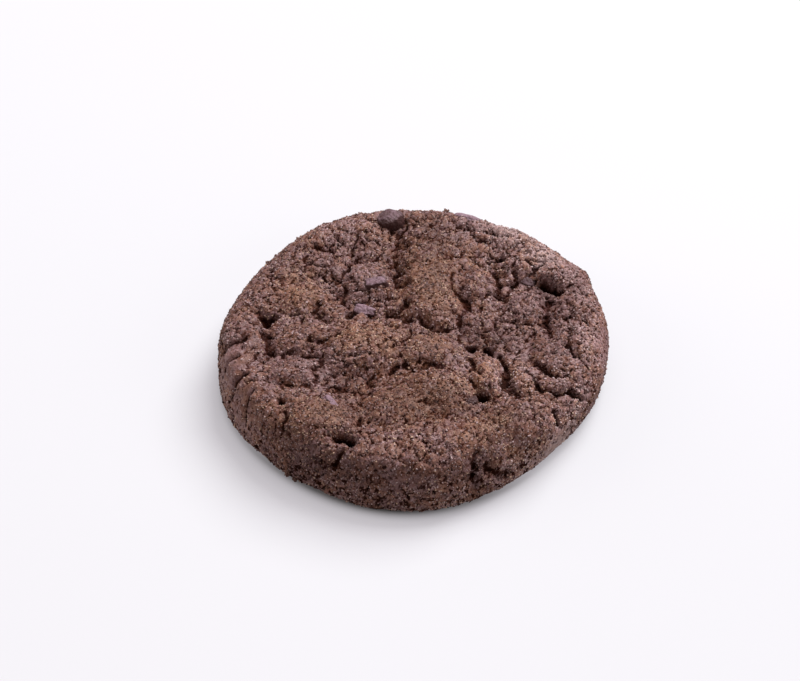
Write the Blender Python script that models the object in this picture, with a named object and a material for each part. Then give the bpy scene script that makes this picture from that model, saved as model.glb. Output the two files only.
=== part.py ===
"""A double chocolate chip cookie: one solid of craggy dough with chocolate chips fused into it.

The dough is a square grid wrapped onto a round, thick disc: a nearly flat top, a rounded shoulder, a
short wall and a small round at the foot, closed by a flat face that it rests on. Gullies, mounds and
crags are moved in and out along the smooth shape's own normal. Blender 4.5, metres, +Z up, with the
origin at the centre of the flat underside.
"""

import math

import bmesh
import bpy
import numpy as np
from mathutils import Euler, Matrix, Vector, noise

MM = 0.001

# The smooth shape, in millimetres
RADIUS = 37.6
THICKNESS = 12.7
SHOULDER = 7.0
FOOT_ROUND = 3.6
TOP_RADIUS = RADIUS - SHOULDER
PLAN_MIDDLE = (0.62, -0.77)

# The plan isn't a true circle: (lobes, swing in mm, direction of the first lobe in degrees)
PLAN_LOBES = ((1, 0.39, -76.8), (2, 0.90, 26.1), (3, 0.65, 11.1), (4, 0.73, 12.2), (5, 0.16, -25.3))
BULGE_DIRECTION = math.radians(25.5)
BULGE_SPREAD = math.radians(3.6)
BULGE_HEIGHT = 1.5

# The mesh of the dough: cells across the fine grid, and triangles once it is thinned where it is plain
GRID_CELLS = 190
DOUGH_TRIANGLES = 9600
FOOT_FADE = 3.0

# Broad relief of the top, in millimetres
RIM_RING_RADIUS = 31.5
RIM_RING_WIDTH = 3.6
RIM_RING_HEIGHT = 0.45
BOWL_RADII = (26.0, 32.0)
BOWL_DEPTH = 0.6
WARPS = ((3.6, 0.9), (1.5, 0.35))
WARP_SHIFT = Vector((43.7, 11.9, 0.0))
GULLY_UNEVENNESS = 0.5
GULLY_WAVE = 2.4
SWELL_SIZE = 15.0
SWELL_HEIGHT = 0.5
CRAG_SIZE = 3.9
CRAG_CROWN = 0.4
CRACK_DEPTH = 0.5
CRACK_REACH = 0.17
CRAG_PATCH_SIZE = 9.0
CRAG_LEVEL = 0.8
CRAG_SWING = 0.8
WALL_CRAGS = 0.2
WALL_FADE_RADII = (29.0, 36.0)
SEED_OFFSET = 17.3

# Mounds with flat tops, seen from above with the front at -y:
# (x, y, half length along x, half length along y, height)
MOUNDS = (
    (3.5, 13.8, 6.0, 13.2, 1.9),
    (-8.4, 11.4, 5.0, 4.8, 2.2),
    (-9.6, -6.2, 6.4, 5.4, 1.8),
    (3.3, -7.2, 5.6, 4.0, 1.6),
    (14.2, -14.7, 2.8, 4.5, 2.5),
    (21.3, -15.2, 2.5, 3.7, 2.2),
    (26.6, -7.7, 3.0, 4.3, 1.1),
    (33.2, -5.6, 2.2, 3.0, 0.8),
    (32.0, -12.0, 2.6, 2.2, 0.7),
    (26.8, -16.4, 3.0, 2.0, 0.9),
    (22.4, 4.9, 3.7, 4.2, 1.9),
    (27.8, 13.6, 3.0, 2.3, 1.2),
    (21.6, 16.6, 3.2, 3.0, 1.4),
    (13.3, 11.1, 3.4, 5.0, 1.5),
    (13.0, 0.2, 2.8, 3.6, 1.2),
    (33.4, 4.0, 2.2, 3.2, 1.0),
    (-22.6, -13.2, 4.2, 3.8, 1.8),
    (-20.6, 7.6, 4.6, 4.6, 1.4),
    (-22.0, -3.7, 4.2, 3.6, 1.3),
    (-30.6, -5.0, 2.0, 3.4, 1.2),
    (-34.2, -2.0, 3.0, 4.0, 0.7),
    (-34.2, -10.5, 3.0, 3.6, 0.7),
    (-3.0, -21.4, 6.4, 4.8, 1.5),
    (6.0, -17.2, 6.0, 5.4, 1.8),
    (-16.4, -23.8, 7.0, 4.8, 1.6),
    (6.0, -28.4, 11.0, 4.6, 1.0),
    (20.5, -23.9, 6.0, 4.8, 1.2),
    (20.0, 25.0, 6.0, 2.8, 0.6),
    (-9.5, 25.6, 4.6, 4.0, 1.2),
    (-17.6, 16.8, 3.4, 3.4, 1.2),
    (-23.5, 15.1, 3.5, 3.5, 1.0),
)

# Gullies and cracks: (half width, depth, the points that its bottom runs through)
GULLIES = {
    "back_gully": (1.9, 1.4, ((-2.2, 31.1), (-2.2, 25.6), (-3.2, 19.6), (-2.2, 11.1))),
    "centre_step": (1.0, 1.4, ((-8, 3.4), (-6, 3.2), (-3.6, 4), (-1, 2), (2, 1), (6.4, -0.8))),
    "centre_notch": (0.94, 1.3, ((-3.4, 3.7), (-0.8, 5.7))),
    "ledge_hole": (0.8, 3.0, ((-12.2, 3.3), (-11.2, 3.7))),
    "chip_mound_arc": (0.68, 0.7, ((-14.6, 12.6), (-13, 17.6), (-8, 19.2), (-4, 18.8))),
    "back_left_crack": (0.59, 1, ((-20, 22.5), (-18, 21.7), (-16.4, 21.3))),
    "back_left_nick": (0.59, 1, ((-11, 25.3), (-12.4, 23.1), (-12.2, 20.2))),
    "far_left_nick": (0.51, 0.7, ((-30.6, 14.6), (-27.6, 14.4))),
    "left_seam": (0.51, 0.7, ((-13.4, 10), (-14, 6.5), (-12.6, 4.5))),
    "right_crease": (0.9, 0.7, ((11, 7.2), (9.4, 2.6), (9.2, -2.4), (10.8, -6.4))),
    "right_basin": (0.8, 2.6, ((10.7, -5.2), (11.7, -5.9))),
    "right_basin_end": (0.8, 2.6, ((14.2, -6.2), (15.4, -6.8))),
    "basin_floor": (3, 1.2, ((12.6, -2.8), (12.8, -4.8))),
    "mound_seam": (0.6, 1.1, ((11.4, -8.7), (12.4, -11.1), (13.4, -14.6))),
    "mound_cleft": (0.65, 0.9, ((16.8, -8.2), (18, -10.7), (17.8, -16.2))),
    "outer_crease": (1.1, 0.4, ((22.4, -2), (23.2, -5.9), (23.6, -10))),
    "outer_seam": (0.5, 0.45, ((23.6, -10), (25.4, -13), (28.4, -14.2), (30.4, -12.4))),
    "front_right_crack": (0.5, 1.1, ((21.8, -14.1), (23.8, -17.3), (27.4, -18.6), (29.2, -17.6))),
    "front_right_mouth": (0.5, 1.8, ((29.2, -17.6), (31, -17.1), (33.4, -17.2))),
    "front_right_nick": (0.51, 1.1, ((26.4, -22.4), (28.6, -24.2))),
    "rim_seam": (0.42, 0.7, ((31.2, -2.3), (30.4, -6.2), (31, -9.5), (34.6, -10.4))),
    "deep_pit": (0.95, 4.2, ((26.8, 11.2), (28.2, 9.7), (29.2, 9.1))),
    "pit_lip": (0.7, 1.0, ((24.1, 12.9), (26.2, 11.7))),
    "pit_tail": (0.51, 1.0, ((29.2, 9.1), (31.6, 10.8))),
    "pit_gully": (1.3, 0.9, ((27.6, 7.8), (26.6, 4.4), (26.4, 0.8), (27, -2.2))),
    "back_right_gully": (1.3, 0.8, ((6.6, 18.5), (10.5, 20.1), (14, 20.5), (17.6, 20.3))),
    "back_right_hole": (0.7, 2.4, ((16.2, 18.8), (18.4, 19.2))),
    "inner_right_crack": (0.8, 0.9, ((16.6, 15.2), (17.6, 11.8), (17.4, 8.4))),
    "chip_pocket": (0.68, 0.9, ((20.4, 16), (20.8, 12.4))),
    "dome_crack": (0.42, 0.7, ((8.4, 14.1), (8.4, 9.9), (11, 7.1))),
    "rim_nick": (0.68, 1.1, ((10.6, 28.2), (14.6, 26.8), (16.4, 25.9))),
    "left_pit": (1.1, 3.2, ((-29.4, 2.5), (-28.4, 1.1), (-27.4, 2.7))),
    "left_shelf": (0.7, 0.9, ((-32.4, 3.7), (-29.4, 2.4))),
    "left_gully": (1.4, 1.0, ((-27.6, -2.5), (-27.8, -4.9), (-27, -7.2))),
    "left_dimple": (1.2, 1.5, ((-18.6, 4.8), (-17.6, 2.2))),
    "left_crease": (0.9, 1.2, ((-20, -4.6), (-16.6, -4.0), (-14.6, -2.8))),
    "left_seam_low": (0.42, 0.7, ((-24, -7.1), (-20, -8.1), (-16.6, -9.1))),
    "basin_edge": (0.9, 0.8, ((-17.2, -8.8), (-18.4, -12.2), (-18.2, -15.2))),
    "pale_foot": (0.9, 0.7, ((-20, -16.1), (-25, -17))),
    "front_basin": (3, 1.3, ((-14.5, -14.7), (-10.5, -15.5), (-6, -13.7))),
    "basin_mouth": (0.68, 1, ((-13, -17.5), (-9.6, -18.1), (-6.6, -15.7))),
    "basin_cleft": (1.0, 1.3, ((-4.2, -13), (-3.4, -10.4))),
    "middle_cleft": (0.8, 0.7, ((-1.6, -10.3), (1.4, -10.1), (4.2, -10.5))),
    "ridge_crease": (0.7, 0.5, ((4.4, -17.4), (2.8, -19.8), (0.4, -23.4))),
    "front_pit": (0.8, 3.8, ((-14.0, -29.4), (-12.6, -29.4), (-11.4, -30.4))),
    "front_pit_tail": (0.59, 1.1, ((-12.8, -32.2), (-15, -34.6))),
    "front_dot": (0.51, 0.8, ((-10, -25), (-9.8, -26))),
    "front_left_nick": (0.8, 2.2, ((-24.6, -21), (-23.6, -21.4))),
    "front_left_crack": (0.59, 0.9, ((-23.2, -24), (-24, -26), (-22.6, -28.2))),
    "chip_pit": (0.85, 2.0, ((12.8, -19.0), (14.4, -19.2))),
    "wall_cleft": (1.2, 1.2, ((11.2, -32.4), (12, -36), (11.8, -39))),
    "wall_pocks": (0.8, 1.0, ((14.4, -34.6), (17.0, -36.6), (19.6, -35.4))),
    "edge_split_upper": (0.45, 1.0, ((-32, -5.4), (-39, -5.6))),
    "edge_split_middle": (0.4, 0.8, ((-33, -9.2), (-39, -11))),
    "edge_split_lower": (0.45, 1.0, ((-31.5, -13.6), (-38.5, -17.5))),
    "edge_split_last": (0.4, 0.8, ((-30, -18), (-35, -23))),
}

# The front left edge of the top is a firm crease:
# (half width, height, directions in degrees, way along the skin)
FIRM_EDGE = (2.3, 0.9, (188.0, 278.0), 35.0)
UNDERCUT = (3.8, 0.2)

# Chips: (x, y, length, width, height, turn in degrees, lean in degrees, part that stands proud, squareness)
CHIPS = {
    "rim_chip": (-4.4, 30.8, 6.0, 4.8, 4.8, 14, 10, 0.40, 2.4),
    "mound_chip": (-7.0, 10.2, 4.4, 2.6, 2.8, 12, -6, 0.22, 5.0),
    "ledge_chip": (-9.2, 4.9, 4.6, 2.2, 2.4, -16, 26, 0.10, 4.0),
    "pit_chip": (23.5, 13.2, 3.4, 2.2, 2.4, -32, 20, 0.14, 4.0),
    "low_chip": (11.2, -20.0, 2.4, 1.6, 1.8, 34, 14, 0.12, 4.0),
    "front_chip": (-15.2, -20.9, 4.6, 1.6, 2.0, -56, 6, 0.14, 3.0),
    "far_rim_chip": (11.8, 32.2, 5.6, 3.4, 2.6, -18, 0, 0.24, 4.0),
}
CHIP_FACETS = 3
CHIP_DENTS = 0.16

# Where the crumb is finely grained and hardly cracked: (x, y, half length along x, half length along y)
FINE_CRUMB = (
    (4.0, 13.0, 7.0, 13.0),
    (-9.5, -3.5, 7.0, 5.5),
    (3.5, -6.0, 5.5, 4.0),
    (2.0, -20.5, 13.0, 6.5),
    (-16.0, -23.5, 8.0, 5.0),
    (-30.0, -13.0, 5.0, 6.0),
    (-22.0, 9.0, 5.0, 6.0),
    (14.0, -26.0, 8.0, 4.0),
)
FINE_CRUMB_CALM = 0.55

DOUGH_BROWN = (0.115, 0.068, 0.056, 1.0)
DOUGH_ROUGHNESS = 0.9


def edge_profile(steps=24):
    """Arc length from the centre, radius, height and normal along the smooth half section."""
    turn = np.linspace(0.0, math.pi / 2, steps)
    shoulder = np.stack([TOP_RADIUS + SHOULDER * np.sin(turn), THICKNESS - SHOULDER * (1 - np.cos(turn))])
    foot = np.stack([RADIUS - FOOT_ROUND * (1 - np.cos(turn)), FOOT_ROUND * (1 - np.sin(turn))])
    line = np.concatenate([[[0.0], [THICKNESS]], shoulder, foot], axis=1)
    lean = np.concatenate([[0.0], turn, math.pi / 2 + turn])
    arc = np.concatenate([[0.0], np.cumsum(np.hypot(*np.diff(line)))])
    return arc, line[0], line[1], lean


def plan_swing(angle):
    """How far the plan stands out from the round, in millimetres, in a direction."""
    swing = sum(reach * np.cos(lobes * (angle - math.radians(first))) for lobes, reach, first in PLAN_LOBES)
    away = (angle - BULGE_DIRECTION + math.pi) % (2 * math.pi) - math.pi
    return swing + BULGE_HEIGHT * np.exp(-((away / BULGE_SPREAD) ** 2))


def distance_to_run(places, points):
    """Distance from each place to a line of straight runs."""
    nearest = np.full(len(places), np.inf)
    for start, end in zip(np.array(points[:-1], float), np.array(points[1:], float)):
        along = end - start
        share = np.clip((places - start) @ along / (along @ along), 0.0, 1.0)
        nearest = np.minimum(nearest, np.linalg.norm(places - start - share[:, None] * along, axis=1))
    return nearest


def share_of(zones, places):
    """From 0 to 1, how far places belong to soft-edged zones."""
    found = np.zeros(len(places))
    for x, y, half_x, half_y in zones:
        away = (places - (x, y)) / (half_x, half_y)
        found = np.maximum(found, np.exp(-(away**2).sum(axis=1)))
    return found


def crags(places):
    """Rounded lumps parted by narrow cracks, in millimetres, in patches and fainter down the side."""
    near = np.array([noise.voronoi(Vector((x, y, SEED_OFFSET)))[0][:2] for x, y in places / CRAG_SIZE])
    patch = np.array([noise.noise(Vector((x, y, -SEED_OFFSET))) for x, y in places / CRAG_PATCH_SIZE])
    strength = CRAG_LEVEL + CRAG_SWING * patch
    strength *= np.interp(np.linalg.norm(places, axis=1), WALL_FADE_RADII, (1.0, WALL_CRAGS))
    strength *= 1.0 - FINE_CRUMB_CALM * share_of(FINE_CRUMB, places)
    crown = CRAG_CROWN * (0.35 - near[:, 0] ** 2)
    crack = CRACK_DEPTH * np.exp(-(near[:, 1] - near[:, 0]) / CRACK_REACH)
    return strength * (crown - crack)


def gully_depth(places):
    """How deep the gullies cut, in millimetres."""
    cut = np.zeros(len(places))
    for half_width, depth, points in GULLIES.values():
        away = distance_to_run(places, points) / half_width
        cut = np.maximum(cut, depth * np.exp(-(away**2)))
    wave = np.array([noise.noise(Vector((x, y, 3 * SEED_OFFSET))) for x, y in places / GULLY_WAVE])
    return cut * (1.0 + GULLY_UNEVENNESS * wave)


def firm_edge(places):
    """The crease where the top turns down into the side, in millimetres, along part of the way round."""
    half_width, height, (start, end), run = FIRM_EDGE
    way = np.linalg.norm(places, axis=1) - run
    below, hollow = UNDERCUT
    profile = np.exp(-((way / half_width) ** 2)) - hollow * np.exp(-(((way - below) / half_width) ** 2))
    direction = np.degrees(np.arctan2(places[:, 1], places[:, 0])) % 360.0
    along = np.interp(direction, (start - 14.0, start, end, end + 14.0), (0.0, 1.0, 1.0, 0.0))
    return height * along * profile


def relief(places):
    """Height of the dough above the smooth shape, in millimetres, at places on its unrolled skin."""
    spots = [Vector((x, y, SEED_OFFSET)) for x, y in places]
    swell = np.array([noise.noise(spot / SWELL_SIZE) for spot in spots])
    warped = places.copy()
    for size, reach in WARPS:
        across = [noise.noise(spot / size) for spot in spots]
        along = [noise.noise(spot / size + WARP_SHIFT) for spot in spots]
        warped += reach * np.stack([across, along], axis=1)
    ring = (np.linalg.norm(warped, axis=1) - RIM_RING_RADIUS) / RIM_RING_WIDTH
    bowl = np.interp(np.linalg.norm(warped, axis=1), BOWL_RADII, (BOWL_DEPTH, 0.0))
    height = RIM_RING_HEIGHT * np.exp(-(ring**2)) - bowl + SWELL_HEIGHT * swell
    mound = np.zeros(len(places))
    for x, y, half_x, half_y, rise in MOUNDS:
        away = (((warped - (x, y)) / (half_x, half_y)) ** 2).sum(axis=1)
        mound = np.maximum(mound, rise * np.exp(-(away**2)))
    return height + crags(warped) + firm_edge(warped) + mound - gully_depth(warped)


def square_to_disc(square):
    """Radius and angle in a unit disc for places in the square from -1 to 1, with areas kept even."""
    x, y = square.T
    wide = np.abs(x) > np.abs(y)
    with np.errstate(divide="ignore", invalid="ignore"):
        sideways = math.pi / 4 * y / x + np.where(x < 0, math.pi, 0.0)
        upright = math.pi / 2 - math.pi / 4 * x / y + np.where(y < 0, math.pi, 0.0)
    return np.where(wide, np.abs(x), np.abs(y)), np.nan_to_num(np.where(wide, sideways, upright))


def skin(share, angle, profile):
    """Places in millimetres of the dough's skin, a share of the way from the top's centre to the foot."""
    arc, radius, height, lean = profile
    run = share * arc[-1]
    swell = 1.0 + plan_swing(angle) / RADIUS
    around = np.stack([np.cos(angle), np.sin(angle)], axis=1)
    lift = relief((run * swell)[:, None] * around) * np.minimum((arc[-1] - run) / FOOT_FADE, 1.0)
    tilt = np.interp(run, arc, lean)
    out = np.interp(run, arc, radius) * swell + lift * np.sin(tilt)
    up = np.interp(run, arc, height) + lift * np.cos(tilt)
    return np.column_stack([out[:, None] * around - PLAN_MIDDLE, np.maximum(up, 0.0)])


def make_material(name, colour, roughness):
    material = bpy.data.materials.new(name)
    material.use_nodes = True
    shader = material.node_tree.nodes["Principled BSDF"]
    shader.inputs["Base Color"].default_value = colour
    shader.inputs["Roughness"].default_value = roughness
    shader.inputs["Metallic"].default_value = 0.0
    return material


def make_dough(collection, material, profile):
    """The craggy disc: a grid wrapped over the top and the side, and one flat face below."""
    mesh = bmesh.new()
    bmesh.ops.create_grid(mesh, x_segments=GRID_CELLS, y_segments=GRID_CELLS, size=1.0)
    square = np.array([vert.co[:2] for vert in mesh.verts])
    places = skin(*square_to_disc(square), profile) * MM
    for vert, place in zip(mesh.verts, places):
        vert.co = place
    data = bpy.data.meshes.new("cookie")
    mesh.to_mesh(data)
    dough = bpy.data.objects.new("cookie", data)
    collection.objects.link(dough)
    thin = dough.modifiers.new("thin", "DECIMATE")
    thin.ratio = DOUGH_TRIANGLES / (2 * GRID_CELLS**2)
    bpy.context.view_layer.objects.active = dough
    bpy.ops.object.modifier_apply(modifier=thin.name)
    mesh.clear()
    mesh.from_mesh(data)
    foot = [edge for edge in mesh.edges if edge.is_boundary]
    for vert in {vert for edge in foot for vert in edge.verts}:
        vert.co.z = 0.0
    bmesh.ops.holes_fill(mesh, edges=foot, sides=0)
    bmesh.ops.recalc_face_normals(mesh, faces=mesh.faces)
    mesh.to_mesh(data)
    mesh.free()
    data.materials.append(material)
    return dough


def surface_place(x, y, profile):
    """The skin at a place in plan on the top or shoulder, with the direction out and the lean there."""
    arc, radius, _, lean = profile
    upper = lean <= math.pi / 2
    angle = math.atan2(y, x)
    swell = 1.0 + plan_swing(angle) / RADIUS
    run = np.interp(math.hypot(x, y) / swell, radius[upper], arc[upper])
    place = skin(np.array([run / arc[-1]]), np.array([angle]), profile)[0]
    return Vector(place), angle, float(np.interp(run, arc, lean))


def make_chip(name, size, collection, material, profile):
    """A blunt block of chocolate with rounded edges, set into the skin so that part of it stands proud."""
    x, y, length, width, height, turn, lean, proud, squareness = size
    place, angle, tilt = surface_place(x, y, profile)
    mesh = bmesh.new()
    bmesh.ops.create_icosphere(mesh, subdivisions=CHIP_FACETS, radius=0.5)
    for vert in mesh.verts:
        way = vert.co.normalized()
        breadth = sum(abs(part) ** squareness for part in way) ** (-1.0 / squareness)
        dent = 1.0 + CHIP_DENTS * noise.noise(vert.co * 3.0 + Vector((x, y, 0.0)))
        vert.co = 0.5 * breadth * dent * Vector((way.x * length, way.y * width, way.z * height))
    facing = Matrix.Rotation(angle, 4, "Z") @ Matrix.Rotation(tilt, 4, "Y") @ Matrix.Rotation(-angle, 4, "Z")
    own = Euler((math.radians(lean), 0.0, math.radians(turn))).to_matrix().to_4x4()
    centre = place + facing @ Vector((0.0, 0.0, height * (proud - 0.5)))
    placing = Matrix.Scale(MM, 4) @ Matrix.Translation(centre) @ facing @ own
    bmesh.ops.transform(mesh, matrix=placing, verts=mesh.verts)
    data = bpy.data.meshes.new(name)
    mesh.to_mesh(data)
    mesh.free()
    data.materials.append(material)
    chip = bpy.data.objects.new(name, data)
    collection.objects.link(chip)
    return chip


def fuse(body, pieces):
    """Joins a collection's objects to the body with one applied union, and removes them."""
    union = body.modifiers.new("fuse", "BOOLEAN")
    union.operation = "UNION"
    union.operand_type = "COLLECTION"
    union.collection = pieces
    bpy.context.view_layer.objects.active = body
    bpy.ops.object.modifier_apply(modifier=union.name)
    for piece in list(pieces.objects):
        bpy.data.objects.remove(piece)
    bpy.data.collections.remove(pieces)


def main():
    for obj in list(bpy.data.objects):
        bpy.data.objects.remove(obj)
    parts = bpy.data.collections.new("double_chocolate_chip_cookie")
    chips = bpy.data.collections.new("chips")
    for collection in (parts, chips):
        bpy.context.scene.collection.children.link(collection)
    profile = edge_profile()
    brown = make_material("baked dough", DOUGH_BROWN, DOUGH_ROUGHNESS)
    dough = make_dough(parts, brown, profile)
    for name, size in CHIPS.items():
        make_chip(name, size, chips, brown, profile)
    fuse(dough, chips)
    dough.data.shade_smooth()
    dough.data.set_sharp_from_angle(angle=math.radians(50))


main()
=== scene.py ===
"""Looks of a double chocolate chip cookie: craggy cocoa dough, sandy grains, loose crumbs and chips.

Metres, +Z up, the front at -Y. The dough is wrapped over the same smooth shape, gullies and mounds as the
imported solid, and a Geometry Nodes tree adds its lumps, cracks, flakes, pores and grain. Places on the dough
are in millimetres on its unrolled skin, from the top's centre on round the shoulder and down the side.
"""

import math

import bmesh
import bpy
import numpy as np
from mathutils import Euler, Matrix, Vector, noise


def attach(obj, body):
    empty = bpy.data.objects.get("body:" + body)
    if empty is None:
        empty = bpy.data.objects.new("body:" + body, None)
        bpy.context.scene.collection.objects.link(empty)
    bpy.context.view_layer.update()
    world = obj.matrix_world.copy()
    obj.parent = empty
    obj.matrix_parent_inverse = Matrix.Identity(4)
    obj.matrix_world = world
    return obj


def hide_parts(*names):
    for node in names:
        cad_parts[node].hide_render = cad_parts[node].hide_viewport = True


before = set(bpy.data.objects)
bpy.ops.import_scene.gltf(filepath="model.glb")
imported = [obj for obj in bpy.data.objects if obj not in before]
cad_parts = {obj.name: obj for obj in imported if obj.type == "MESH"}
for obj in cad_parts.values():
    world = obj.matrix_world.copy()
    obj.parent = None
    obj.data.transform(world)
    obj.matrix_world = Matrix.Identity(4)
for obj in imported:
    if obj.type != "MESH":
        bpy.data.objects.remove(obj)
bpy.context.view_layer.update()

MM = 0.001

# The smooth shape, in millimetres
RADIUS = 37.6
THICKNESS = 12.7
SHOULDER = 7.0
FOOT_ROUND = 3.6
TOP_RADIUS = RADIUS - SHOULDER
PLAN_MIDDLE = (0.62, -0.77)

# The plan isn't a true circle: (lobes, swing in mm, direction of the first lobe in degrees)
PLAN_LOBES = ((1, 0.39, -76.8), (2, 0.90, 26.1), (3, 0.65, 11.1), (4, 0.73, 12.2), (5, 0.16, -25.3))
BULGE_DIRECTION = math.radians(25.5)
BULGE_SPREAD = math.radians(3.6)
BULGE_HEIGHT = 1.5

# Over how many millimetres the relief fades at the foot
FOOT_FADE = 3.0

# The dough's mesh: cells across the grid of the top and side, how many of them one underside cell spans, and
# how near points of the two grids have to be, in millimetres, to be sewn together
TOP_CELLS = 297
CELLS_TO_ONE = 3
SEWING_DISTANCE = 0.01

# Both grids' corners on the bake's map, and what each point of the dough stores
TOP_ON_MAP = ((0.004, 0.004), (0.735, 0.996))
UNDERSIDE_ON_MAP = ((0.745, 0.004), (0.996, 0.996))
DOUGH_FACTS = ("gully", "calm", "rusty", "lighter", "side", "flaky", "under")

# Broad relief of the top, in millimetres
RIM_RING_RADIUS = 31.5
RIM_RING_WIDTH = 3.6
RIM_RING_HEIGHT = 0.45
BOWL_RADII = (26.0, 32.0)
BOWL_DEPTH = 0.6
WARPS = ((3.6, 0.9), (1.5, 0.35))
WARP_SHIFT = Vector((43.7, 11.9, 0.0))
GULLY_UNEVENNESS = 0.5
GULLY_WAVE = 2.4
SWELL_SIZE = 15.0
SWELL_HEIGHT = 0.5
CRAG_SIZE = 3.9
CRAG_CROWN = 0.4
CRAG_CROWN_LEVEL = 0.35
CRACK_DEPTH = 0.5
CRACK_REACH = 0.17
CRAG_PATCH_SIZE = 9.0
CRAG_LEVEL = 0.8
CRAG_SWING = 0.8
WALL_CRAGS = 0.2
WALL_FADE_RADII = (29.0, 36.0)
SEED_OFFSET = 17.3

# Mounds with flat tops: (x, y, half length along x, half length along y, height)
MOUNDS = (
    (3.5, 13.8, 6.0, 13.2, 1.9),
    (-8.4, 11.4, 5.0, 4.8, 2.2),
    (-9.6, -6.2, 6.4, 5.4, 1.8),
    (3.3, -7.2, 5.6, 4.0, 1.6),
    (14.2, -14.7, 2.8, 4.5, 2.5),
    (21.3, -15.2, 2.5, 3.7, 2.2),
    (26.6, -7.7, 3.0, 4.3, 1.1),
    (33.2, -5.6, 2.2, 3.0, 0.8),
    (32.0, -12.0, 2.6, 2.2, 0.7),
    (26.8, -16.4, 3.0, 2.0, 0.9),
    (22.4, 4.9, 3.7, 4.2, 1.9),
    (27.8, 13.6, 3.0, 2.3, 1.2),
    (21.6, 16.6, 3.2, 3.0, 1.4),
    (13.3, 11.1, 3.4, 5.0, 1.5),
    (13.0, 0.2, 2.8, 3.6, 1.2),
    (33.4, 4.0, 2.2, 3.2, 1.0),
    (-22.6, -13.2, 4.2, 3.8, 1.8),
    (-20.6, 7.6, 4.6, 4.6, 1.4),
    (-22.0, -3.7, 4.2, 3.6, 1.3),
    (-30.6, -5.0, 2.0, 3.4, 1.2),
    (-34.2, -2.0, 3.0, 4.0, 0.7),
    (-34.2, -10.5, 3.0, 3.6, 0.7),
    (-3.0, -21.4, 6.4, 4.8, 1.5),
    (6.0, -17.2, 6.0, 5.4, 1.8),
    (-16.4, -23.8, 7.0, 4.8, 1.6),
    (6.0, -28.4, 11.0, 4.6, 1.0),
    (20.5, -23.9, 6.0, 4.8, 1.2),
    (20.0, 25.0, 6.0, 2.8, 0.6),
    (-9.5, 25.6, 4.6, 4.0, 1.2),
    (-17.6, 16.8, 3.4, 3.4, 1.2),
    (-23.5, 15.1, 3.5, 3.5, 1.0),
)

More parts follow.
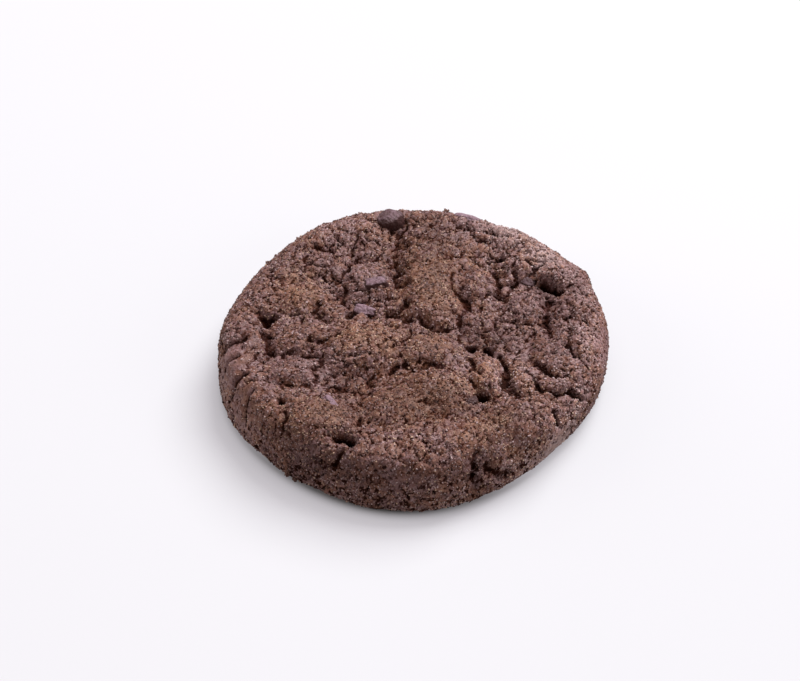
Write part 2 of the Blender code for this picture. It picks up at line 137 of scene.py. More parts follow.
# Gullies and cracks: (half width, depth, the points that its bottom runs through)
GULLIES = {
    "back_gully": (1.9, 1.4, ((-2.2, 31.1), (-2.2, 25.6), (-3.2, 19.6), (-2.2, 11.1))),
    "centre_step": (1.0, 1.4, ((-8, 3.4), (-6, 3.2), (-3.6, 4), (-1, 2), (2, 1), (6.4, -0.8))),
    "centre_notch": (0.94, 1.3, ((-3.4, 3.7), (-0.8, 5.7))),
    "ledge_hole": (0.8, 3.0, ((-12.2, 3.3), (-11.2, 3.7))),
    "chip_mound_arc": (0.68, 0.7, ((-14.6, 12.6), (-13, 17.6), (-8, 19.2), (-4, 18.8))),
    "back_left_crack": (0.59, 1, ((-20, 22.5), (-18, 21.7), (-16.4, 21.3))),
    "back_left_nick": (0.59, 1, ((-11, 25.3), (-12.4, 23.1), (-12.2, 20.2))),
    "far_left_nick": (0.51, 0.7, ((-30.6, 14.6), (-27.6, 14.4))),
    "left_seam": (0.51, 0.7, ((-13.4, 10), (-14, 6.5), (-12.6, 4.5))),
    "right_crease": (0.9, 0.7, ((11, 7.2), (9.4, 2.6), (9.2, -2.4), (10.8, -6.4))),
    "right_basin": (0.8, 2.6, ((10.7, -5.2), (11.7, -5.9))),
    "right_basin_end": (0.8, 2.6, ((14.2, -6.2), (15.4, -6.8))),
    "basin_floor": (3, 1.2, ((12.6, -2.8), (12.8, -4.8))),
    "mound_seam": (0.6, 1.1, ((11.4, -8.7), (12.4, -11.1), (13.4, -14.6))),
    "mound_cleft": (0.65, 0.9, ((16.8, -8.2), (18, -10.7), (17.8, -16.2))),
    "outer_crease": (1.1, 0.4, ((22.4, -2), (23.2, -5.9), (23.6, -10))),
    "outer_seam": (0.5, 0.45, ((23.6, -10), (25.4, -13), (28.4, -14.2), (30.4, -12.4))),
    "front_right_crack": (0.5, 1.1, ((21.8, -14.1), (23.8, -17.3), (27.4, -18.6), (29.2, -17.6))),
    "front_right_mouth": (0.5, 1.8, ((29.2, -17.6), (31, -17.1), (33.4, -17.2))),
    "front_right_nick": (0.51, 1.1, ((26.4, -22.4), (28.6, -24.2))),
    "rim_seam": (0.42, 0.7, ((31.2, -2.3), (30.4, -6.2), (31, -9.5), (34.6, -10.4))),
    "deep_pit": (0.95, 4.2, ((26.8, 11.2), (28.2, 9.7), (29.2, 9.1))),
    "pit_lip": (0.7, 1.0, ((24.1, 12.9), (26.2, 11.7))),
    "pit_tail": (0.51, 1.0, ((29.2, 9.1), (31.6, 10.8))),
    "pit_gully": (1.3, 0.9, ((27.6, 7.8), (26.6, 4.4), (26.4, 0.8), (27, -2.2))),
    "back_right_gully": (1.3, 0.8, ((6.6, 18.5), (10.5, 20.1), (14, 20.5), (17.6, 20.3))),
    "back_right_hole": (0.7, 2.4, ((16.2, 18.8), (18.4, 19.2))),
    "inner_right_crack": (0.8, 0.9, ((16.6, 15.2), (17.6, 11.8), (17.4, 8.4))),
    "chip_pocket": (0.68, 0.9, ((20.4, 16), (20.8, 12.4))),
    "dome_crack": (0.42, 0.7, ((8.4, 14.1), (8.4, 9.9), (11, 7.1))),
    "rim_nick": (0.68, 1.1, ((10.6, 28.2), (14.6, 26.8), (16.4, 25.9))),
    "left_pit": (1.1, 3.2, ((-29.4, 2.5), (-28.4, 1.1), (-27.4, 2.7))),
    "left_shelf": (0.7, 0.9, ((-32.4, 3.7), (-29.4, 2.4))),
    "left_gully": (1.4, 1.0, ((-27.6, -2.5), (-27.8, -4.9), (-27, -7.2))),
    "left_dimple": (1.2, 1.5, ((-18.6, 4.8), (-17.6, 2.2))),
    "left_crease": (0.9, 1.2, ((-20, -4.6), (-16.6, -4.0), (-14.6, -2.8))),
    "left_seam_low": (0.42, 0.7, ((-24, -7.1), (-20, -8.1), (-16.6, -9.1))),
    "basin_edge": (0.9, 0.8, ((-17.2, -8.8), (-18.4, -12.2), (-18.2, -15.2))),
    "pale_foot": (0.9, 0.7, ((-20, -16.1), (-25, -17))),
    "front_basin": (3, 1.3, ((-14.5, -14.7), (-10.5, -15.5), (-6, -13.7))),
    "basin_mouth": (0.68, 1, ((-13, -17.5), (-9.6, -18.1), (-6.6, -15.7))),
    "basin_cleft": (1.0, 1.3, ((-4.2, -13), (-3.4, -10.4))),
    "middle_cleft": (0.8, 0.7, ((-1.6, -10.3), (1.4, -10.1), (4.2, -10.5))),
    "ridge_crease": (0.7, 0.5, ((4.4, -17.4), (2.8, -19.8), (0.4, -23.4))),
    "front_pit": (0.8, 3.8, ((-14.0, -29.4), (-12.6, -29.4), (-11.4, -30.4))),
    "front_pit_tail": (0.59, 1.1, ((-12.8, -32.2), (-15, -34.6))),
    "front_dot": (0.51, 0.8, ((-10, -25), (-9.8, -26))),
    "front_left_nick": (0.8, 2.2, ((-24.6, -21), (-23.6, -21.4))),
    "front_left_crack": (0.59, 0.9, ((-23.2, -24), (-24, -26), (-22.6, -28.2))),
    "chip_pit": (0.85, 2.0, ((12.8, -19.0), (14.4, -19.2))),
    "wall_cleft": (1.2, 1.2, ((11.2, -32.4), (12, -36), (11.8, -39))),
    "wall_pocks": (0.8, 1.0, ((14.4, -34.6), (17.0, -36.6), (19.6, -35.4))),
    "edge_split_upper": (0.45, 1.0, ((-32, -5.4), (-39, -5.6))),
    "edge_split_middle": (0.4, 0.8, ((-33, -9.2), (-39, -11))),
    "edge_split_lower": (0.45, 1.0, ((-31.5, -13.6), (-38.5, -17.5))),
    "edge_split_last": (0.4, 0.8, ((-30, -18), (-35, -23))),
}

# How far the shoulder swells out round the back and sides: (direction in degrees, height in mm)
SHOULDER_RISE_START = -60
SHOULDER_RISE = (
    (-60, 0), (-42, 0.6), (-25, 0.2), (0, 0.5), (22, 1.1), (45, 0.6), (62, 0.9), (78, 1.1),
    (90, 0.3), (110, 0.6), (128, 0.2), (148, 0.4), (165, 0.2), (180, 0.7), (200, 0), (300, 0),
)
SHOULDER_RISE_AT = 36.5
SHOULDER_RISE_WIDTH = 4.5

# A firm crease edges the top at the front left: (half width, height, directions in degrees, way along)
FIRM_EDGE = (2.3, 0.9, (188.0, 278.0), 35.0)
FIRM_EDGE_FADE = 14.0

# How far below the crease the skin dips again, and the dip as a share of the crease
UNDERCUT = (3.8, 0.2)

# Chips: (x, y, length, width, height, turn in degrees, lean in degrees, part that stands proud, squareness)
CHIPS = {
    "rim_chip": (-4.4, 30.8, 6.0, 4.8, 4.8, 14, 10, 0.40, 2.4),
    "mound_chip": (-7.0, 10.2, 4.4, 2.6, 2.8, 12, -6, 0.22, 5.0),
    "ledge_chip": (-9.2, 4.9, 4.6, 2.2, 2.4, -16, 26, 0.10, 4.0),
    "pit_chip": (23.5, 13.2, 3.4, 2.2, 2.4, -32, 20, 0.14, 4.0),
    "low_chip": (11.2, -20.0, 2.4, 1.6, 1.8, 34, 14, 0.12, 4.0),
    "front_chip": (-15.2, -20.9, 4.2, 1.6, 2.0, -56, 6, 0.10, 3.0),
    "far_rim_chip": (11.8, 32.2, 5.6, 3.4, 2.6, -18, 0, 0.14, 4.0),
}

# How pale each chip's upper side is, partly real bloom and partly a painted highlight, where 1 is a chip pale
# all over its upper side
CHIP_BLOOM_AND_HIGHLIGHT = {
    "rim_chip": 0.55,
    "mound_chip": 0.85,
    "ledge_chip": 1.7,
    "pit_chip": 0.5,
    "low_chip": 0.1,
    "front_chip": 1.35,
    "far_rim_chip": 2.2,
}
CHIP_FACETS = 4

# Dents and pits of every chip: (how close together, depth as a share of its size)
CHIP_DENTS = (3.0, 0.16)
CHIP_PITS = (9.0, 0.07)

# Where the dough baked smoother: (x, y, half length along x, half length along y)
SMOOTH_SKINS = (
    (-35.5, -11.0, 6.0, 6.0),
    (-33.5, -20.0, 4.5, 5.5),
    (40.0, -6.0, 2.5, 16.0),
    (9.0, 36.5, 5.0, 2.0),
    (31.0, -27.0, 4.0, 4.0),
)

# Where the crumb is finely grained, rusty and hardly cracked, given in the same way
FINE_CRUMB = (
    (4.0, 13.0, 7.0, 13.0),
    (-9.5, -3.5, 7.0, 5.5),
    (3.5, -6.0, 5.5, 4.0),
    (2.0, -20.5, 13.0, 6.5),
    (-16.0, -23.5, 8.0, 5.0),
    (-22.0, 9.0, 5.0, 6.0),
    (14.0, -26.0, 8.0, 4.0),
)
FINE_CRUMB_CALM = 0.55

# Where the crumb is greyer and more violet, given in the same way
VIOLET_CRUMB = (
    (31.0, 6.0, 9.0, 20.0),
    (20.0, 28.0, 14.0, 8.0),
    (-33.0, -8.0, 4.0, 7.0),
    (-10.0, 12.0, 6.0, 5.0),
    (-18.0, -12.0, 7.0, 5.0),
)
VIOLET_PULL = 0.5

# Where thin flakes lift along the rim, given in the same way
FLAKY_RIM = ((32.0, -3.0, 8.0, 15.0), (25.0, 24.0, 8.0, 6.0))
FLAKE_STRETCH = 0.45

# Paler or darker crumb, partly its own tone, partly painted light on lit rims and walls and painted shade in
# pits,
# gullies and clefts: (x, y, half length along x, half length along y, how much lighter)
TONES_AND_PAINTED_LIGHT = (
    (-8.4, 13.5, 5.5, 5.5, 0.08),
    (15.6, -14.2, 4.6, 5.5, 0.44),
    (24.0, -15.0, 5.0, 4.5, 0.16),
    (34.0, -6.0, 4.5, 7.0, 0.42),
    (35.0, 7.0, 3.5, 6.0, 0.10),
    (33.0, -19.5, 3.0, 4.5, 0.34),
    (21.0, 28.0, 9.0, 7.0, 0.78),
    (10.5, 27.5, 5.0, 4.0, -0.15),
    (-14.0, 28.5, 9.0, 4.0, 0.26),
    (26.0, 18.0, 5.0, 5.0, 0.30),
    (27.9, 17.5, 4.0, 4.0, 0.45),
    (26.4, 10.6, 1.6, 1.3, -0.60),
    (-24.0, -11.0, 5.0, 7.0, -0.12),
    (-17.0, -6.0, 4.0, 4.0, -0.12),
    (-2.8, 20.0, 2.4, 9.0, -0.22),
    (4.0, 24.0, 5.0, 7.0, -0.30),
    (4.0, 12.0, 6.0, 6.0, -0.24),
    (3.5, -6.0, 5.0, 4.0, -0.13),
    (-9.5, -5.0, 6.0, 5.0, -0.06),
    (-18.0, 18.0, 8.0, 7.0, -0.10),
    (2.0, -21.0, 13.0, 6.0, -0.34),
    (-17.0, -24.0, 7.0, 5.0, -0.26),
    (16.6, -25.0, 5.0, 4.5, -0.18),
    (15.2, -4.4, 5.6, 4.2, -0.36),
    (26.0, -5.0, 4.0, 5.0, -0.17),
    (27.0, 5.0, 2.2, 4.5, -0.30),
    (-12.0, -16.0, 5.0, 3.0, -0.14),
    (-40.0, -12.0, 7.0, 11.0, 0.62),
    (-33.0, -7.5, 4.5, 8.0, -0.26),
    (-34.5, -24.0, 5.0, 5.0, 0.40),
    (-18.4, -35.0, 6.0, 5.0, -0.30),
    (-7.0, -38.0, 9.0, 6.0, -0.18),
    (19.5, -33.0, 4.0, 3.5, 0.32),
    (24.0, -36.0, 5.0, 5.0, 0.26),
    (33.0, -29.0, 8.0, 7.0, 1.0),
    (0.0, -42.0, 40.0, 5.0, 0.13),
    (-19.0, -41.0, 6.0, 4.0, 0.38),
    (8.0, -43.0, 8.0, 4.0, 0.22),
    (13.0, -37.0, 4.5, 4.0, -0.36),
)

# Loose crumbs on the rim and at the foot: (direction in degrees, way from the top's centre, size)
LOOSE_CRUMBS = (
    (107.0, 36.8, 0.9),
    (78.0, 36.8, 1.1),
    (64.0, 37.2, 0.9),
    (58.0, 37.0, 0.7),
    (232.0, 44.0, 1.3),
    (234.0, 45.5, 0.9),
    (120.0, 37.0, 0.7),
    (131.0, 37.0, 0.6),
    (146.0, 37.0, 0.7),
    (205.0, 41.0, 0.7),
)

# Knobs of every loose crumb: (how close together, height as a share of its size), and its tone
LOOSE_CRUMB_KNOBS = (4.0, 0.9)
LOOSE_CRUMB_TONE = 0.45

# The photo's camera: its angle above the floor, and its distance and the place it looks at in mm
VIEW_ELEVATION = math.radians(46.0)
VIEW_DISTANCE = 342.0
AIM = (-2.28, 0.0, 3.04)

# How far the aim is lifted in the picture, in mm, and the lens in mm of a film 36 mm wide
AIM_RISE = 3.36
LENS = 77.0
FILM_WIDTH = 36.0

WORLD_COLOUR = (1.0, 0.91, 0.88, 1.0)
WORLD_STRENGTH = 0.24

# Soft lights: (place in metres, width in metres, power in watts, colour)
LIGHTS = {
    "key": ((0.58, 0.70, 1.10), 1.0, 34.0, (1.0, 0.99, 1.0)),
    "left fill": ((-1.1, 0.0, 0.45), 0.9, 4.4, (1.0, 0.91, 0.86)),
    "right fill": ((1.1, -0.5, 0.5), 0.9, 4.2, (1.0, 0.94, 0.90)),
}

FLOOR_WHITE = (0.325, 0.333, 0.338, 1.0)
# The floor's glow, seen by the camera alone: painted light that lifts the floor and its shadows
FLOOR_PAINTED_GLOW = (0.966, 0.926, 1.0, 1.0)
FLOOR_PAINTED_GLOW_STRENGTH = 0.484

# How much of the floor's glow is left in front of the cookie, the rest taken off as a painted contact shadow:
# (distance from its foot in mm, share)
PAINTED_CONTACT_SHADOW = (
    (-3.0, 0.1), (0.0, 0.15), (0.55, 0.34), (1.1, 0.58), (1.7, 0.80), (2.2, 0.93),
    (2.8, 1.02), (3.4, 1.05), (5.0, 1.12), (8.0, 1.12), (12.0, 1.04), (16.0, 1.0),
)

# How strong and wide that painted shadow is round the cookie: (direction in degrees, share)
PAINTED_SHADOW_STRENGTH = (
    (0, 0), (170, 0.3), (210, 0.3), (240, 0.8), (265, 0.94), (290, 0.7), (310, 0.1), (360, 0),
)

# How far in under the cookie it starts in mm where it is strongest, and its least width as a share
PAINTED_SHADOW_INSET = 1.85
PAINTED_SHADOW_NARROWEST = 0.3

# The glow is a little weaker beside the cookie, a painted shadow: (direction in degrees, share taken off,
# fade in mm)
PAINTED_SIDE_SHADOW = ((-35.0, 0.20, 12.0), (-140.0, 0.28, 6.0))

# The floor's mesh, in millimetres: it lies a hair below the cookie, so that the two don't flicker
FLOOR_DIRECTIONS = 180
FLOOR_REACH = 9000.0
FLOOR_GAP = 0.02

# Colours of the crumb, dark and light
CRUMB_BROWN = ((0.136, 0.049, 0.033, 1.0), (0.260, 0.133, 0.103, 1.0))
CRUMB_RUSTY = ((0.165, 0.062, 0.034, 1.0), (0.336, 0.181, 0.117, 1.0))
CRUMB_VIOLET = ((0.136, 0.057, 0.051, 1.0), (0.285, 0.177, 0.184, 1.0))
# A pale dust, partly painted sheen, laid over the palest crumb
PALE_DUST_AND_PAINTED_SHEEN = (0.47, 0.36, 0.355, 1.0)
# Painted shade: the colours that dough and grains are darkened towards in hollows, pores and crevices
PAINTED_SHADE_IN_DOUGH = (0.020, 0.005, 0.0026, 1.0)
PAINTED_SHADE_IN_GRAINS = (0.024, 0.006, 0.0032, 1.0)

# Colours of each kind of grain, dark and light
GRAIN_COLOURS = {
    "cocoa_grains": ((0.052, 0.014, 0.008, 1.0), (0.352, 0.206, 0.165, 1.0)),
    "tan_grains": ((0.094, 0.032, 0.015, 1.0), (0.568, 0.392, 0.284, 1.0)),
    "violet_grains": ((0.059, 0.019, 0.014, 1.0), (0.456, 0.332, 0.334, 1.0)),
    "dusty_grains": ((0.058, 0.018, 0.012, 1.0), (0.430, 0.300, 0.288, 1.0)),
    "crumb_lumps": ((0.104, 0.040, 0.028, 1.0), (0.297, 0.147, 0.112, 1.0)),
}

DARK_CHOCOLATE = (0.054, 0.019, 0.018, 1.0)
# The grey-violet of the chips' bloom, also used for their painted highlight
CHOCOLATE_BLOOM_AND_HIGHLIGHT = (0.25, 0.155, 0.190, 1.0)


def edge_profile(steps=24):
    """Way from the centre, radius, height and lean along the smooth half section."""
    turn = np.linspace(0.0, math.pi / 2, steps)
    sine, cosine = np.sin(turn), np.cos(turn)
    shoulder = np.stack([TOP_RADIUS + SHOULDER * sine, THICKNESS - SHOULDER + SHOULDER * cosine])
    foot = np.stack([RADIUS - FOOT_ROUND + FOOT_ROUND * cosine, FOOT_ROUND - FOOT_ROUND * sine])
    line = np.concatenate([[[0.0], [THICKNESS]], shoulder, foot], axis=1)
    lean = np.concatenate([[0.0], turn, math.pi / 2 + turn])
    arc = np.concatenate([[0.0], np.cumsum(np.hypot(*np.diff(line)))])
    return arc, line[0], line[1], lean


def plan_swing(angle):
    """How far the plan stands out from the round, in millimetres, in a direction."""
    swing = sum(reach * np.cos(lobes * (angle - math.radians(first))) for lobes, reach, first in PLAN_LOBES)
    away = (angle - BULGE_DIRECTION + math.pi) % (2 * math.pi) - math.pi
    return swing + BULGE_HEIGHT * np.exp(-((away / BULGE_SPREAD) ** 2))


def plan_swell(angle):
    """The plan's size in a direction, where the true circle is 1."""
    return 1.0 + plan_swing(angle) / RADIUS


def distance_to_run(places, points):
    """Distance from each place to a line of straight runs."""
    nearest = np.full(len(places), np.inf)
    for start, end in zip(np.array(points[:-1], float), np.array(points[1:], float)):
        along = end - start
        share = np.clip((places - start) @ along / (along @ along), 0.0, 1.0)
        nearest = np.minimum(nearest, np.linalg.norm(places - start - share[:, None] * along, axis=1))
    return nearest


def away_from(zone, places):
    """How far places lie from a zone's middle, squared, where its half lengths count as 1."""
    x, y, half_x, half_y = zone
    return (((places - (x, y)) / (half_x, half_y)) ** 2).sum(axis=1)


def share_of(zones, places):
    """From 0 to 1, how far places belong to soft-edged zones."""
    found = np.zeros(len(places))
    for zone in zones:
        found = np.maximum(found, np.exp(-away_from(zone, places)))
    return found


def crags(places):
    """Rounded lumps parted by narrow cracks, in millimetres, stronger in patches, faint down the side."""
    near = np.array([noise.voronoi(Vector((x, y, SEED_OFFSET)))[0][:2] for x, y in places / CRAG_SIZE])
    patch = np.array([noise.noise(Vector((x, y, -SEED_OFFSET))) for x, y in places / CRAG_PATCH_SIZE])
    strength = CRAG_LEVEL + CRAG_SWING * patch
    strength *= np.interp(np.linalg.norm(places, axis=1), WALL_FADE_RADII, (1.0, WALL_CRAGS))
    strength *= 1.0 - FINE_CRUMB_CALM * share_of(FINE_CRUMB, places)
    crown = CRAG_CROWN * (CRAG_CROWN_LEVEL - near[:, 0] ** 2)
    crack = CRACK_DEPTH * np.exp(-(near[:, 1] - near[:, 0]) / CRACK_REACH)
    return strength * (crown - crack)


def gully_depth(places):
    """How deep the gullies cut, in millimetres."""
    cut = np.zeros(len(places))
    for half_width, depth, points in GULLIES.values():
        away = distance_to_run(places, points) / half_width
        cut = np.maximum(cut, depth * np.exp(-(away**2)))
    wave = np.array([noise.noise(Vector((x, y, 3 * SEED_OFFSET))) for x, y in places / GULLY_WAVE])
    return cut * (1.0 + GULLY_UNEVENNESS * wave)


def firm_edge(places):
    """The crease where the top turns down into the side, in millimetres, along part of the way round."""
    half_width, height, (start, end), run = FIRM_EDGE
    way = np.linalg.norm(places, axis=1) - run
    below, hollow = UNDERCUT
    profile = np.exp(-((way / half_width) ** 2)) - hollow * np.exp(-(((way - below) / half_width) ** 2))
    direction = np.degrees(np.arctan2(places[:, 1], places[:, 0])) % 360.0
    turns = (start - FIRM_EDGE_FADE, start, end, end + FIRM_EDGE_FADE)
    along = np.interp(direction, turns, (0.0, 1.0, 1.0, 0.0))
    return height * along * profile


def shoulder_rise(places):
    """The slow swell of the shoulder, in millimetres."""
    direction = np.degrees(np.arctan2(places[:, 1], places[:, 0])) - SHOULDER_RISE_START
    direction = direction % 360.0 + SHOULDER_RISE_START
    away = (np.linalg.norm(places, axis=1) - SHOULDER_RISE_AT) / SHOULDER_RISE_WIDTH
    return np.interp(direction, *zip(*SHOULDER_RISE)) * np.exp(-(away**2))


def relief(places):
    """Height of the dough above the smooth shape and the gullies' depth, in mm, on its unrolled skin."""
    spots = [Vector((x, y, SEED_OFFSET)) for x, y in places]
    swell = np.array([noise.noise(spot / SWELL_SIZE) for spot in spots])
    warped = places.copy()
    for size, reach in WARPS:
        across = [noise.noise(spot / size) for spot in spots]
        along = [noise.noise(spot / size + WARP_SHIFT) for spot in spots]
        warped += reach * np.stack([across, along], axis=1)
    ring = (np.linalg.norm(warped, axis=1) - RIM_RING_RADIUS) / RIM_RING_WIDTH
    bowl = np.interp(np.linalg.norm(warped, axis=1), BOWL_RADII, (BOWL_DEPTH, 0.0))
    height = RIM_RING_HEIGHT * np.exp(-(ring**2)) - bowl + SWELL_HEIGHT * swell + crags(warped)
    height += firm_edge(warped)
    mound = np.zeros(len(places))
    for *zone, rise in MOUNDS:
        mound = np.maximum(mound, rise * np.exp(-(away_from(zone, warped) ** 2)))
    height += mound + shoulder_rise(places)
    cut = gully_depth(warped)
    return height - cut, cut


def tone_and_painted_light_of(places):
    """How much lighter than usual the crumb is, from its own tone and from painted light and shade."""
    found = np.zeros(len(places))
    for *zone, lighter in TONES_AND_PAINTED_LIGHT:
        found += lighter * np.exp(-away_from(zone, places))
    return found


def square_to_disc(square):
    """Radius and angle in a unit disc for places in the square from -1 to 1, with areas kept even."""
    x, y = square.T
    wide = np.abs(x) > np.abs(y)
    with np.errstate(divide="ignore", invalid="ignore"):
        sideways = math.pi / 4 * y / x + np.where(x < 0, math.pi, 0.0)
        upright = math.pi / 2 - math.pi / 4 * x / y + np.where(y < 0, math.pi, 0.0)
    return np.where(wide, np.abs(x), np.abs(y)), np.nan_to_num(np.where(wide, sideways, upright))


def skin(share, angle, profile):
    """Places on the skin in mm, by their share of the way from centre to foot, and what is stored there."""
    arc, radius, height, lean = profile
    run = share * arc[-1]
    swell = plan_swell(angle)
    around = np.stack([np.cos(angle), np.sin(angle)], axis=1)
    unrolled = (run * swell)[:, None] * around
    lift, cut = relief(unrolled)
    lift = lift * np.minimum((arc[-1] - run) / FOOT_FADE, 1.0)
    tilt = np.interp(run, arc, lean)
    out = np.interp(run, arc, radius) * swell + lift * np.sin(tilt)
    up = np.interp(run, arc, height) + lift * np.cos(tilt)
    places = np.column_stack([out[:, None] * around - PLAN_MIDDLE, np.maximum(up, 0.0)])
    return places, {
        "gully": cut,
        "calm": share_of(SMOOTH_SKINS, unrolled),
        "rusty": share_of(FINE_CRUMB, unrolled) - VIOLET_PULL * share_of(VIOLET_CRUMB, unrolled),
        "lighter": tone_and_painted_light_of(unrolled),
        "side": tilt / (math.pi / 2),
        "flaky": share_of(FLAKY_RIM, unrolled),
    }


# Most values of a noise lie between these two
NOISE_RANGE = (0.3, 0.7)


class Web:
    """Adds nodes to a tree and wires them. A value is a number, vector, colour or another node's socket."""

    def __init__(self, tree):
        self.tree = tree

    def feed(self, socket, value):
        if isinstance(value, bpy.types.NodeSocket):
            self.tree.links.new(value, socket)
        else:
            socket.default_value = value

    def add(self, kind, inputs=None, **settings):
        node = self.tree.nodes.new(kind)
        for name, value in settings.items():
            setattr(node, name, value)
        for key, value in (inputs or {}).items():
            self.feed(node.inputs[key], value)
        return node

    def math(self, operation, *values):
        return self.add("ShaderNodeMath", dict(enumerate(values)), operation=operation).outputs[0]

    def times(self, first, *others):
        for other in others:
            first = self.math("MULTIPLY", first, other)
        return first

    def plus(self, first, *others):
        for other in others:
            first = self.math("ADD", first, other)
        return first

    def minus(self, first, second):
        return self.math("SUBTRACT", first, second)

    def over(self, first, second):
        return self.math("DIVIDE", first, second)

    def axes(self, vector):
        return self.add("ShaderNodeSeparateXYZ", {0: vector}).outputs

    def joined(self, x, y, z=0.0):
        return self.add("ShaderNodeCombineXYZ", {0: x, 1: y, 2: z}).outputs[0]

    def vector(self, operation, *values):
        return self.add("ShaderNodeVectorMath", dict(enumerate(values)), operation=operation).outputs[0]

    def dot(self, first, second):
        return self.add("ShaderNodeVectorMath", {0: first, 1: second}, operation="DOT_PRODUCT").outputs[1]

    def position(self):
        return self.add("GeometryNodeInputPosition").outputs[0]

    def normal(self):
        return self.add("GeometryNodeInputNormal").outputs[0]

    def moved(self, geometry, how, value):
        """A geometry with its points moved to a Position or by an Offset."""
        return self.add("GeometryNodeSetPosition", {"Geometry": geometry, how: value}).outputs[0]

    def named(self, name, kind="FLOAT"):
        """What a mesh stores under a name, in a Geometry Nodes tree."""
        return self.add("GeometryNodeInputNamedAttribute", {"Name": name}, data_type=kind).outputs[0]

    def stored(self, geometry, name, value, kind="FLOAT", domain="POINT"):
        inputs = {"Geometry": geometry, "Name": name, "Value": value}
        return self.add("GeometryNodeStoreNamedAttribute", inputs, data_type=kind, domain=domain).outputs[0]

    def drawn(self, low, high, seed):
        """A number drawn for each point."""
        inputs = {2: low, 3: high, "Seed": seed}
        return self.add("FunctionNodeRandomValue", inputs, data_type="FLOAT").outputs[1]

    def read(self, name):
        """A mesh's stored number, in a material."""
        return self.add("ShaderNodeAttribute", attribute_name=name).outputs["Fac"]

    def scaled(self, vector, share):
        return self.add("ShaderNodeVectorMath", {0: vector, "Scale": share}, operation="SCALE").outputs[0]

    def span(self, value, low, high, to_low=0.0, to_high=1.0):
        """Value taken from one range to another with soft ends."""
        inputs = {0: value, 1: low, 2: high, 3: to_low, 4: to_high}
        return self.add("ShaderNodeMapRange", inputs, interpolation_type="SMOOTHSTEP").outputs[0]

    def noise(self, place, scale, detail=2.0, roughness=0.5):
        """A number, and a colour, that wander from place to place."""
        inputs = {"Vector": place, "Scale": scale, "Detail": detail, "Roughness": roughness}
        return self.add("ShaderNodeTexNoise", inputs, noise_dimensions="3D").outputs

    def wander(self, place, scale, low, high, detail=2.0, roughness=0.5):
        """A number that wanders between two values."""
        return self.span(self.noise(place, scale, detail, roughness)[0], *NOISE_RANGE, low, high)

    def stir(self, place, scale, detail):
        """A shift that wanders, by up to half a unit each way."""
        return self.vector("SUBTRACT", self.noise(place, scale, detail)["Color"], (0.5, 0.5, 0.5))

    def cells(self, place, size, feature="F1"):
        """Random cells of about one size."""
        inputs = {"Vector": place, "Scale": self.over(1.0, size)}
        return self.add("ShaderNodeTexVoronoi", inputs, voronoi_dimensions="3D", feature=feature).outputs

    def mix(self, factor, first, second, kind="MIX"):
        node = self.add("ShaderNodeMix", data_type="RGBA", blend_type=kind)
        for socket, value in zip((node.inputs[0], node.inputs[6], node.inputs[7]), (factor, first, second)):
            self.feed(socket, value)
        return node.outputs[2]


FLOAT, VECTOR, COLOUR = "NodeSocketFloat", "NodeSocketVector", "NodeSocketColor"
GEOMETRY, MATERIAL, WHOLE_NUMBER = "NodeSocketGeometry", "NodeSocketMaterial", "NodeSocketInt"


def new_tree(name, kind, inputs, output):
    """The web of a new node tree with named sockets, its inputs by name, and the socket of its output."""
    tree = bpy.data.node_groups.new(name, kind)
    for socket, kind_of, value in inputs:
        made = tree.interface.new_socket(socket, in_out="INPUT", socket_type=kind_of)
        if value is not None:
            made.default_value = value
    socket, kind_of = output
    tree.interface.new_socket(socket, in_out="OUTPUT", socket_type=kind_of)
    given = tree.nodes.new("NodeGroupInput").outputs
    return Web(tree), given, tree.nodes.new("NodeGroupOutput").inputs[0]


def set_inputs(modifier, values):
    """Sets a Geometry Nodes modifier's inputs, given by the sockets' names."""
    for item in modifier.node_group.interface.items_tree:
        if item.item_type == "SOCKET" and item.in_out == "INPUT" and item.name in values:
            modifier[item.identifier] = values[item.name]


def placed(name, data):
    """A new object in the scene."""
    obj = bpy.data.objects.new(name, data)
    bpy.context.scene.collection.objects.link(obj)
    return obj


def finished(name, mesh, material, smooth=True):
    """A bmesh made into an object of one material."""
    data = bpy.data.meshes.new(name)
    mesh.to_mesh(data)
    mesh.free()
    data.materials.append(material)
    if smooth:
        data.shade_smooth()
    return placed(name, data)


def baked(obj):
    """The plain mesh that an object's modifiers make takes the place of its own, and the modifiers go."""
    graph = bpy.context.evaluated_depsgraph_get()
    evaluated = obj.evaluated_get(graph)
    mesh = bpy.data.meshes.new_from_object(evaluated, preserve_all_data_layers=True, depsgraph=graph)
    obj.modifiers.clear()
    obj.data = mesh
    mesh.name = obj.name
    return obj


def size_inputs(sizes):
    return [(name, FLOAT, value) for name, value in sizes.items()]


# The fine relief of the dough, in millimetres unless its name says otherwise
FINE_RELIEF = {
    "Cobble size": 3.0,
    "Cobble height": 0.3,
    "Knob size": 1.4,
    "Knob height": 0.13,
    "Grain size": 0.6,
    "Grain height": 0.2,
    "Crack depth": 0.5,
    "Wall share": 0.6,
    "Rusty share": 0.25,
    "Flake depth": 0.85,
    "Pore spacing": 1.6,
    "Pore depth": 0.8,
    "Pore stretch": 0.5,
    "Wall pores": 0.4,
    "Warp": 0.6,
    "Underside pore depth": 0.3,
}

# Rounds of smoothing that a hollow is measured against: about 0.4 mm and about 1.3 mm wide.
# The materials darken these hollows with painted shade
HOLLOWS = {"hollow": 3, "dip": 30}


def in_patches(web, place, seed, low, high):
    """A number that is high over some patches of the dough and low over others."""
    some = web.noise(web.vector("ADD", place, (seed, seed, 0.0)), 0.2, 1.0)[0]
    return web.span(some, 0.32, 0.62, low, high)


